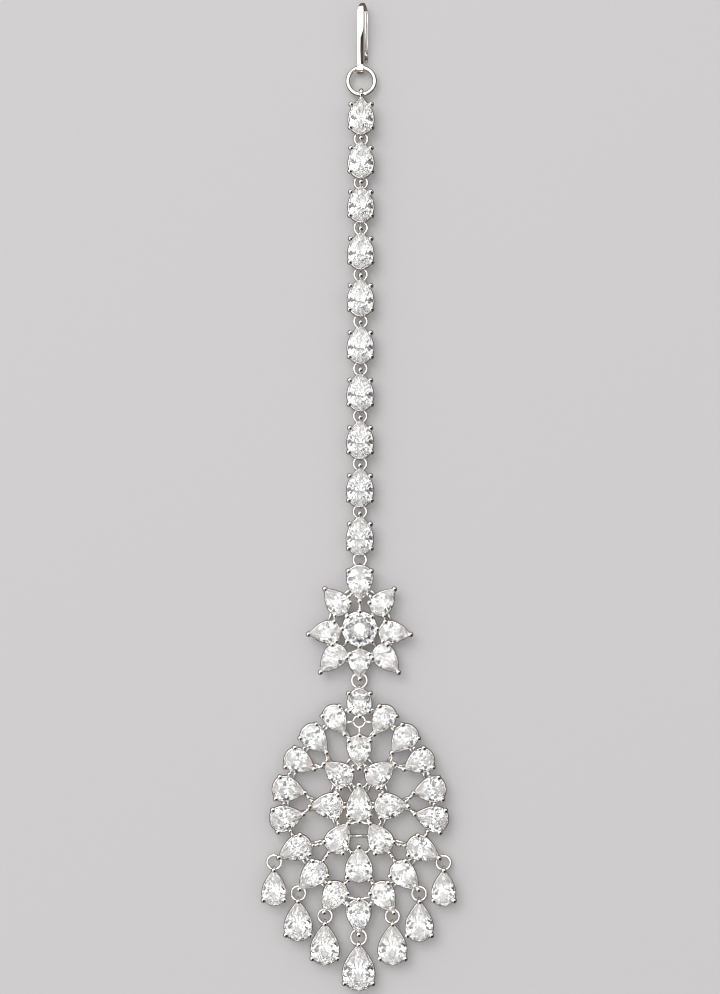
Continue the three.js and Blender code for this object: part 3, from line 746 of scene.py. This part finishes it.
def arc_to(shape, point, stone):
    """Bowed wire from a point to the nearest place on a stone's seat."""
    end = min(seat_points(stone), key=lambda p: (p - point).length)
    path = [
        flat(lerp(point, end, share), SEAT_LEVEL + ARC_RISE * math.sin(math.pi * share))
        for share in (i / ARC_STEPS for i in range(ARC_STEPS + 1))
    ]
    shape.tube(path, STITCH_WIRE * ARC_RADIUS)


def round_end(stone):
    """The end of a stone's outline that lies opposite its tip."""
    return stone["middle"] - heading(stone["turn"]) * (stone["length"] / 2)


def net_trims(shape, stones):
    """The small ring under the first stone, and the wires that leave the axis to both sides."""
    by_name = {}
    for stone in stones:
        by_name.setdefault(stone["name"], []).append(stone)
    radius = (TRIM_RING_DIAMETER - TRIM_RING_WIRE) / 2
    middle = round_end(by_name["c0"][0]) - Vector((0, radius))
    path = [flat(middle + heading(360 * i / TRIM_STEPS) * radius, SEAT_LEVEL) for i in range(TRIM_STEPS)]
    shape.tube(path, TRIM_RING_WIRE / 2, True)
    for stone in by_name["p1"]:
        arc_to(shape, middle + Vector((stone["side"] * radius, 0)), stone)
    low = round_end(by_name["c1"][0])
    shape.tube([flat(middle - Vector((0, radius)), SEAT_LEVEL), flat(low, SEAT_LEVEL)], TRIM_POST_WIRE / 2)
    for row in BOWS:
        for stone in by_name[row["to"]]:
            arc_to(shape, round_end(by_name[row["from"]][0]), stone)


# Places of the parts, measured as the frame has them

def flower_middle():
    low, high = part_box("flower_centre_stone")
    return (low.y + high.y) / 2 / MM


def petal_ring():
    """Distance from the flower's middle at which the petals clear the round stone and each other."""
    inner = min(petal["out"] for petal in PETALS)
    round_stone = (FLOWER_STONE / 2 + PETAL_CLEARANCE + PETAL["width"] / 2) / inner
    chords = [
        (heading(b["turn"]) * b["out"] - heading(a["turn"]) * a["out"]).length
        for a, b in zip(PETALS, PETALS[1:])
    ]
    return max(round_stone, (PETAL["width"] + PETAL_GAP) / min(chords))


def flower_stones():
    ring = petal_ring()
    middle = Vector((0, flower_middle()))
    top = FLOWER_STONE / 2 + TOP_PETAL_CLEARANCE + TOP_PETAL["length"] / 2
    size = {"length": FLOWER_STONE, "width": FLOWER_STONE}
    stones = [
        {"name": "flower_centre", **size, "taper": ROUND_TAPER, "turn": 0, "middle": middle},
        {"name": "flower_petal_top", **TOP_PETAL, "taper": PEAR_TAPER, "turn": 180,
         "middle": middle + Vector((0, top))},
    ]
    for i, petal in enumerate(PETALS):
        length = PETAL["length"] * petal["long"]
        out = ring * petal["out"] + (length - PETAL["width"]) / 2
        stones.append({
            "name": f"flower_petal_{i + 1}", "length": length, "width": PETAL["width"], "taper": PEAR_TAPER,
            "turn": petal["turn"], "middle": middle + heading(petal["turn"]) * out,
        })
    return stones


def net_stones(top):
    """The net's stones, from the level of its upper end."""
    first = top - NET_STONE["length"] * NET_STONES[0]["long"] / 2
    stones = []
    for row in NET_STONES:
        for side in ((1, -1) if row["across"] else (0,)):
            across = side * row["across"] * NET_REACH
            stones.append({
                **row,
                "side": side,
                "taper": OVAL_TAPER if row["name"] == "c0" else PEAR_TAPER,
                "length": NET_STONE["length"] * row["long"],
                "width": NET_STONE["width"] * row["wide"],
                "turn": row["turn"] * (-1 if side < 0 else 1),
                "middle": Vector((across, first - row["down"] * NET_LENGTH)),
            })
    return stones


def drop_places(stones):
    """Ring, hold and stone of each drop, from left to right."""
    places = []
    for row in DROPS:
        for carrier in (s for s in stones if s["name"] == row["from"]):
            radius = (DROP_RING_DIAMETER * row["ring"] - DROP_RING_WIRE) / 2
            tip = carrier["middle"] + heading(carrier["turn"]) * (carrier["length"] / 2)
            middle = tip + Vector((carrier["side"] * row["out"], -row["down"])) * DROP_RING_DIAMETER
            anchor = heading(carrier["turn"]) * rail_end(carrier).y + carrier["middle"]
            away = (middle - anchor).normalized()
            length = DROP["length"] * row["long"]
            places.append({
                "carrier": carrier,
                "anchor": anchor,
                "hold": middle - away * radius,
                "in": row["hold"],
                "stone": {
                    "length": length,
                    "width": DROP["width"] * row["wide"],
                    "taper": PEAR_TAPER,
                    "middle": Vector((middle.x, middle.y - radius + row["hold"] - length / 2)),
                },
            })
    return sorted(places, key=lambda place: place["stone"]["middle"].x)


# Materials

def node_material(name):
    material = bpy.data.materials.new(name)
    material.use_nodes = True
    nodes = material.node_tree.nodes
    return material, nodes, material.node_tree.links, nodes["Principled BSDF"]


def noise(nodes, links, look):
    """Noise over an object's own coordinates."""
    place = nodes.new("ShaderNodeTexCoord")
    found = nodes.new("ShaderNodeTexNoise")
    found.inputs["Scale"].default_value = look["scale"]
    found.inputs["Detail"].default_value = look["detail"]
    links.new(place.outputs["Object"], found.inputs["Vector"])
    return found.outputs["Fac"]


def spread(nodes, links, value, span):
    """A value from 0 to 1, spread over a span."""
    found = nodes.new("ShaderNodeMapRange")
    found.inputs["To Min"].default_value = span["least"]
    found.inputs["To Max"].default_value = span["most"]
    links.new(value, found.inputs["Value"])
    return found.outputs["Result"]


def ramp(nodes, links, value, table, steps=False):
    """Shades of a table, picked by a value. In steps, a row's shade holds up to the next row."""
    found = nodes.new("ShaderNodeValToRGB")
    stops = found.color_ramp.elements
    stops[0].position, stops[1].position = table[0]["at"], table[-1]["at"]
    stops[0].color, stops[1].color = (*table[0]["shade"], 1), (*table[-1]["shade"], 1)
    found.color_ramp.interpolation = "CONSTANT" if steps else "LINEAR"
    for row in table[1:-1]:
        stops.new(row["at"]).color = (*row["shade"], 1)
    links.new(value, found.inputs["Fac"])
    return found.outputs["Color"]


def metal_material():
    """Polished plating: slightly uneven in colour, with faint polishing marks."""
    material, nodes, links, shader = node_material("polished_plating")
    patches = noise(nodes, links, METAL_PATCHES)
    bump = nodes.new("ShaderNodeBump")
    bump.inputs["Strength"].default_value = METAL_MARKS["strength"]
    bump.inputs["Distance"].default_value = METAL_MARKS["distance"]
    links.new(noise(nodes, links, METAL_MARKS), bump.inputs["Height"])
    links.new(ramp(nodes, links, patches, METAL_TINTS), shader.inputs["Base Color"])
    links.new(spread(nodes, links, patches, METAL_ROUGHNESS), shader.inputs["Roughness"])
    links.new(bump.outputs["Normal"], shader.inputs["Normal"])
    shader.inputs["Metallic"].default_value = 1.0
    return material


def stone_material():
    """Clear cut stone with a strong refraction and a polish that varies very slightly."""
    material, nodes, links, shader = node_material("clear_stone")
    haze = noise(nodes, links, STONE_HAZE)
    links.new(ramp(nodes, links, haze, STONE_TINTS), shader.inputs["Base Color"])
    links.new(spread(nodes, links, haze, STONE_ROUGHNESS), shader.inputs["Roughness"])
    shader.inputs["Transmission Weight"].default_value = STONE_TRANSMISSION
    shader.inputs["IOR"].default_value = STONE_IOR
    shader.inputs["Specular Tint"].default_value = (STONE_GLINT, STONE_GLINT, STONE_GLINT, 1)
    return material


def floor_material():
    """Pale matt surface. Rays from the metal meet it as a dark glow, a painted reflection, and rays through
    the stones meet it as a bright glow, painted light.
    """
    material, nodes, links, shader = node_material("pale_surface")
    tints = [
        {"at": 0.0, "shade": FLOOR_SHADE},
        {"at": 1.0, "shade": [c * FLOOR_UNEVEN for c in FLOOR_SHADE]},
    ]
    links.new(ramp(nodes, links, noise(nodes, links, FLOOR_GRAIN), tints), shader.inputs["Base Color"])
    shader.inputs["Roughness"].default_value = FLOOR_ROUGHNESS
    shader.inputs["Specular IOR Level"].default_value = FLOOR_SPECULAR
    rays = nodes.new("ShaderNodeLightPath")
    found = shader.outputs["BSDF"]
    # Painted light: glows stand in for the lit surface, dark in the metal's reflections and bright through the
    # stones
    for kind, shade in (("Is Glossy Ray", FLOOR_PAINTED_REFLECTION_IN_METAL), ("Is Transmission Ray", FLOOR_PAINTED_LIGHT_IN_STONE)):
        glow = nodes.new("ShaderNodeEmission")
        glow.inputs["Color"].default_value = (*shade, 1)
        mix = nodes.new("ShaderNodeMixShader")
        links.new(rays.outputs[kind], mix.inputs["Fac"])
        links.new(found, mix.inputs[1])
        links.new(glow.outputs["Emission"], mix.inputs[2])
        found = mix.outputs["Shader"]
    links.new(found, nodes["Material Output"].inputs["Surface"])
    return material


METAL = metal_material()
STONE = stone_material()


# Parts

def ring_like(name, node, wire):
    """Round wire ring in place of a CAD ring, from that ring's own box."""
    low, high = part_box(node)
    middle = Vector(((low.x + high.x) / 2 / MM, (low.y + high.y) / 2 / MM))
    radius = (high.x - low.x) / 2 / MM - wire / 2
    level = ring_level(wire)
    path = [flat(middle + heading(360 * i / RING_STEPS) * radius, level) for i in range(RING_STEPS)]
    shape = Shape()
    shape.tube(path, wire / 2, True)
    shape.piece(name, METAL, "metal", node)


def link_gap(i):
    return CLOSE_GAP if i < CLOSE_LINKS else CHAIN_GAP


def link_hold(i):
    return (LINK_DIAMETER - LINK_WIRE - link_gap(i)) / 2


def chain():
    links = []
    for i in range(CHAIN_COUNT):
        node = f"chain_link_{i + 1:02d}"
        ring_like(f"chain_ring_{i + 1:02d}", node, LINK_WIRE)
        low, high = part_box(node)
        links.append((low.y + high.y) / 2 / MM)
    for i, link in enumerate(links):
        chain_station(i, link)


def chain_station(i, link):
    """Oval stone in its setting, placed above the middle of the link at its lower end."""
    share = i / (CHAIN_COUNT - 1)
    stone = {
        "length": lerp(CHAIN_FIRST["length"], CHAIN_LAST["length"], share),
        "width": lerp(CHAIN_FIRST["width"], CHAIN_LAST["width"], share),
        "taper": CHAIN_TAPER,
    }
    place = placed(Vector((0, link + link_gap(i) / 2 + stone["length"] / 2)))
    node = f"chain_station_{i + 1:02d}"
    first = i == 0
    setting = Shape()
    rails(setting, stone, place)
    oval_prongs(setting, stone, place)
    reach = TOP_RING_REACH if first else -link_hold(i - 1)
    top = Vector((0, stone["length"] / 2 + reach))
    low = Vector((0, -stone["length"] / 2 + link_hold(i)))
    wire = TOP_RING_WIRE if first else LINK_WIRE
    staple(setting, top, rail_end(stone), wire, stone, place, BAIL_WIRE if first else LOOP_WIRE)
    staple(setting, low, rail_end(stone, -1), LINK_WIRE, stone, place)
    crown_bead(setting, stone, place)
    setting.piece(f"chain_setting_{i + 1:02d}", METAL, "metal", node)
    cut_stone(f"chain_stone_{i + 1:02d}", stone, place, node)


def hook_section(bevel):
    """Section of the hook's band, with its outer right corner cut off over a share of the width."""
    drop = bevel * 2 * HOOK_WIDTH / HOOK_THICKNESS * math.tan(math.radians(HOOK_BEVEL_TILT))
    inner = 1 - 2 * bevel
    return [
        (1, HOOK_SIDE_FOOT),
        (1, HOOK_SIDE_TOP - drop),
        *((lerp(inner, 1, share), 1 - drop * share) for share in HOOK_CUT),
        *((inner - step, 1) for step in HOOK_TOP_STEPS),
        *((row["across"], row["out"]) for row in HOOK_SECTION),
    ]


def hook_rows():
    """Places of the band's sections: eye round the top ring, front limb, arch and back limb."""
    half = HOOK_THICKNESS / 2
    eye_radius = TOP_RING_WIRE / 2 + LOOP_CLEARANCE + half
    level = ring_level(TOP_RING_WIRE)
    arch = (HOOK_GAP + HOOK_THICKNESS) / 2
    arch_level = half + arch
    arch_middle = HOOK_LENGTH - eye_radius - half - arch - half
    plain = {"side": 0, "width": HOOK_WIDTH, "bevel": HOOK_BEVEL}
    rows = []
    for i in range(HOOK_STEPS + 1):
        angle = math.radians(HOOK_EYE_START - HOOK_EYE_TURN * i / HOOK_STEPS)
        z = level + eye_radius * math.sin(angle)
        rows.append({**plain, "y": eye_radius * math.cos(angle), "z": z, "angle": angle})
    for row in HOOK_BEVELS:
        z = lerp(level + eye_radius, arch_level + arch, row["y"] / arch_middle)
        rows.append({**plain, **row, "z": z, "angle": math.radians(90)})
    for i in range(1, HOOK_STEPS + 1):
        share = i / HOOK_STEPS
        angle = math.radians(90 - 180 * share)
        ease = share * share * (3 - 2 * share)
        waist = 1 - HOOK_ARCH_WAIST * math.sin(math.pi * share) ** 2
        rows.append({
            **plain,
            "y": arch_middle + arch * math.cos(angle),
            "z": arch_level + arch * math.sin(angle),
            "angle": angle,
            "side": HOOK_SIDE_STEP * ease,
            "width": lerp(HOOK_WIDTH, HOOK_TIP_WIDTH, share) * waist,
        })
    tip = {"y": HOOK_OPENING, "z": half, "side": HOOK_SIDE_STEP, "width": HOOK_TIP_WIDTH}
    rows.append({**plain, **tip, "angle": math.radians(-90)})
    return rows


def hook():
    """Band bent on edge, swept through its sections from the ring's wire."""
    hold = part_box("top_ring")[1].y / MM - TOP_RING_WIRE / 2
    half = HOOK_THICKNESS / 2
    rings = []
    for row in hook_rows():
        out = Vector((0, math.cos(row["angle"]), math.sin(row["angle"])))
        centre = Vector((HOOK_SIDE + row["side"], hold + row["y"], row["z"]))
        rings.append([
            centre + Vector((u * row["width"] / 2, 0, 0)) + out * (v * half)
            for u, v in hook_section(row["bevel"])
        ])
    shape = Shape()
    shape.sweep(rings)
    shape.piece("hook_band", METAL, "metal", "hook")


def flower():
    """The star flower: one setting with nine stones. Returns the level of its lower tip."""
    stones = flower_stones()
    centre, top, *petals = stones
    last = next(petal for petal in petals if petal["turn"] == 180)
    side = math.radians(PETAL_PRONG_TURN)
    setting = Shape()
    for stone in stones:
        place = placed(stone["middle"], stone["turn"])
        rails(setting, stone, place)
        angles = [0, side, -side]
        if stone is centre:
            angles = [math.tau * i / FLOWER_PRONGS for i in range(FLOWER_PRONGS)]
        for angle in angles:
            lowest = stone is last and angle == 0
            foot = Vector((0, stone["length"] / 2 - LOW_PRONG_IN)) if lowest else None
            prong(setting, stone, angle, place, foot=foot)
        cut_stone(f"{stone['name']}_cut", stone, place, f"{stone['name']}_stone")
    for petal in [*petals, top]:
        rail_bar(setting, centre, petal)
    stitch(setting, centre, top)
    ring = [top, *petals, top]
    for one, other in zip(ring, ring[1:]):
        rail_bar(setting, one, other)
        stitch(setting, one, other)
    high = top["middle"] + Vector((0, top["length"] / 2 - link_hold(CHAIN_COUNT - 1)))
    eye(setting, high, Vector((0, 1)), LINK_WIRE)
    low = last["middle"] + Vector((0, PENDANT_RING_HOLD - last["length"] / 2))
    eye(setting, low, Vector((0, -1)), DROP_RING_WIRE)
    setting.piece("flower_setting", METAL, "metal", "flower_frame")
    return last["middle"].y - last["length"] / 2


def bars_between(stones):
    for row in NET_BARS:
        for start in (s for s in stones if s["name"] == row["from"]):
            for end in (s for s in stones if s["name"] == row["to"]):
                if row.get("twin"):
                    if start["side"] > 0 > end["side"]:
                        yield start, end
                elif start["side"] == 0 or end["side"] == 0 or start["side"] == end["side"]:
                    yield start, end


def net(stones, drops):
    """The pierced net: one piece for its settings with their bars and loops, and one for its stones."""
    setting = Shape()
    cuts = Shape()
    side = math.radians(NET_PRONG_TURN)
    for stone in stones:
        place = placed(stone["middle"], stone["turn"])
        rails(setting, stone, place)
        angles = [0, side, -side]
        if stone["taper"] == OVAL_TAPER:
            oval_prongs(setting, stone, place)
            angles = []
        if stone.get("crest"):
            angles.append(math.pi)
        for angle in angles:
            prong(setting, stone, angle, place)
        cuts.add(gem_points(stone), gem_faces(), place)
    for start, end in bars_between(stones):
        rail_bar(setting, start, end)
        if start["name"] != end["name"]:
            stitch(setting, start, end)
    net_trims(setting, stones)
    first = stones[0]
    hold = first["middle"] + Vector((0, first["length"] / 2 - PENDANT_RING_TOP))
    staple(setting, hold, first["middle"] + rail_end(first), DROP_RING_WIRE, first)
    for drop in drops:
        staple(setting, drop["hold"], drop["anchor"], DROP_RING_WIRE, drop["carrier"])
    setting.piece("pendant_setting", METAL, "metal", "pendant_net")
    cuts.piece("pendant_stones", STONE, "stone", "pendant_net", smooth=False)


def pear_drop(number, stone, hold):
    """A drop with its ring. hold is how far the ring's wire lies in from the drop's tip."""
    ring_like(f"drop_loop_{number}", f"drop_ring_{number}", DROP_RING_WIRE)
    place = placed(stone["middle"])
    side = math.radians(NET_PRONG_TURN)
    setting = Shape()
    rails(setting, stone, place)
    for angle in (0, side, -side):
        prong(setting, stone, angle, place)
    point = Vector((0, stone["length"] / 2 - hold))
    staple(setting, point, rail_end(stone), DROP_RING_WIRE, stone, place)
    setting.piece(f"drop_setting_{number}", METAL, "metal", f"drop_{number}")
    cut_stone(f"drop_stone_{number}", stone, place, f"drop_{number}")


def pendant(flower_low):
    stones = net_stones(flower_low - PENDANT_RING_GAP)
    drops = drop_places(stones)
    net(stones, drops)
    for i, drop in enumerate(drops):
        pear_drop(i + 1, drop["stone"], drop["in"])


# Studio

def floor():
    bpy.ops.mesh.primitive_plane_add(size=FLOOR_SIZE, location=(0, 0, 0))
    surface = bpy.context.object
    surface.name = "surface"
    surface.data.materials.append(floor_material())


def towards(nodes, links, side):
    """How far a ray of the world points to a side: 1 along it, 0 or less at right angles and beyond."""
    place = nodes.new("ShaderNodeTexCoord")
    dot = nodes.new("ShaderNodeVectorMath")
    dot.operation = "DOT_PRODUCT"
    lean = math.radians(side["tilt"])
    dot.inputs[1].default_value = flat(heading(side["turn"]) * math.sin(lean), math.cos(lean))
    links.new(place.outputs["Generated"], dot.inputs[0])
    return dot.outputs["Value"]


def mixed(nodes, links, one, other, factor=None, blend="MIX"):
    """Two colours, mixed by a factor, or blended in full where there is none."""
    found = nodes.new("ShaderNodeMix")
    found.data_type = "RGBA"
    found.blend_type = blend
    if factor is None:
        found.inputs["Factor"].default_value = 1.0
    else:
        links.new(factor, found.inputs["Factor"])
    links.new(one, found.inputs["A"])
    links.new(other, found.inputs["B"])
    return found.outputs["Result"]


def world():
    """Three domes in one. The surface has a soft one, the metal one with a dark horizon and a black card,
    and both are brightest at the upper left. The stones have rings round straight up. They come last,
    because a ray through a stone counts as glossy too.
    """
    sky = bpy.data.worlds.new("studio")
    bpy.context.scene.world = sky
    sky.use_nodes = True
    nodes = sky.node_tree.nodes
    links = sky.node_tree.links
    rays = nodes.new("ShaderNodeLightPath")
    bright = towards(nodes, links, BRIGHT_SIDE)
    card = ramp(nodes, links, towards(nodes, links, CARD_SIDE), CARD)
    metal = mixed(nodes, links, ramp(nodes, links, bright, DOME_FOR_METAL), card, blend="MULTIPLY")
    stone = ramp(nodes, links, towards(nodes, links, STRAIGHT_UP), DOME_FOR_STONE, True)
    surface = ramp(nodes, links, bright, DOME_FOR_SURFACE)
    found = mixed(nodes, links, surface, metal, rays.outputs["Is Glossy Ray"])
    found = mixed(nodes, links, found, stone, rays.outputs["Is Transmission Ray"])
    back = nodes["Background"]
    back.inputs["Strength"].default_value = DOME_STRENGTH
    links.new(found, back.inputs["Color"])


def lens_disc():
    """Dark round card above the camera, which only rays through the stones meet."""
    sides = LENS_DISC["sides"]
    angles = [math.tau * k / sides for k in range(sides)]
    disc = [Vector((math.cos(a), math.sin(a), 0)) for a in angles]
    points = [Vector(LENS_DISC["place"]) + p * LENS_DISC["radius"] for p in disc]
    mesh = bpy.data.meshes.new("lens_card")
    mesh.from_pydata(points, [], [list(range(sides))])
    material, *_, shader = node_material("black_card")
    shader.inputs["Base Color"].default_value = (*BLACK, 1)
    shader.inputs["Roughness"].default_value = LENS_DISC["roughness"]
    mesh.materials.append(material)
    card = bpy.data.objects.new("lens_card", mesh)
    card.visible_camera = False
    card.visible_diffuse = False
    card.visible_glossy = False
    card.visible_shadow = False
    bpy.context.scene.collection.objects.link(card)


def key_light():
    data = bpy.data.lights.new("key", "AREA")
    data.energy = KEY_POWER
    data.size = KEY_SIZE
    light = bpy.data.objects.new("key", data)
    light.location = KEY_PLACE
    light.rotation_euler = (-light.location).to_track_quat("-Z", "Y").to_euler()
    bpy.context.scene.collection.objects.link(light)


def camera():
    data = bpy.data.cameras.new("camera")
    data.type = "PERSP"
    data.lens = LENS
    data.sensor_width = SENSOR
    view = bpy.data.objects.new("camera", data)
    half_height = PHOTO["height"] * PHOTO["mm_per_pixel"] / 2
    distance = half_height / (SENSOR / 2 / LENS)
    view.location = Vector((CAMERA_SHIFT["x"], CAMERA_SHIFT["y"], GIRDLE_LEVEL + distance)) * MM
    view.rotation_euler = (0, 0, math.radians(CAMERA_ROLL))
    data.clip_start = CLIP["near"]
    data.clip_end = CLIP["far"]
    bpy.context.scene.collection.objects.link(view)
    bpy.context.scene.camera = view


def looks():
    scene = bpy.context.scene
    scene.view_settings.view_transform = "Standard"
    scene.cycles.max_bounces = BOUNCES["all"]
    scene.cycles.transmission_bounces = BOUNCES["transmission"]
    scene.cycles.glossy_bounces = BOUNCES["glossy"]
    scene.cycles.diffuse_bounces = BOUNCES["diffuse"]
    scene.cycles.filter_width = FILTER_WIDTH


camera()
floor()
world()
lens_disc()
key_light()
looks()
ring_like("top_ring_wire", "top_ring", TOP_RING_WIRE)
hook()
chain()
flower_end = flower()
ring_like("pendant_ring_wire", "pendant_ring", DROP_RING_WIRE)
pendant(flower_end)
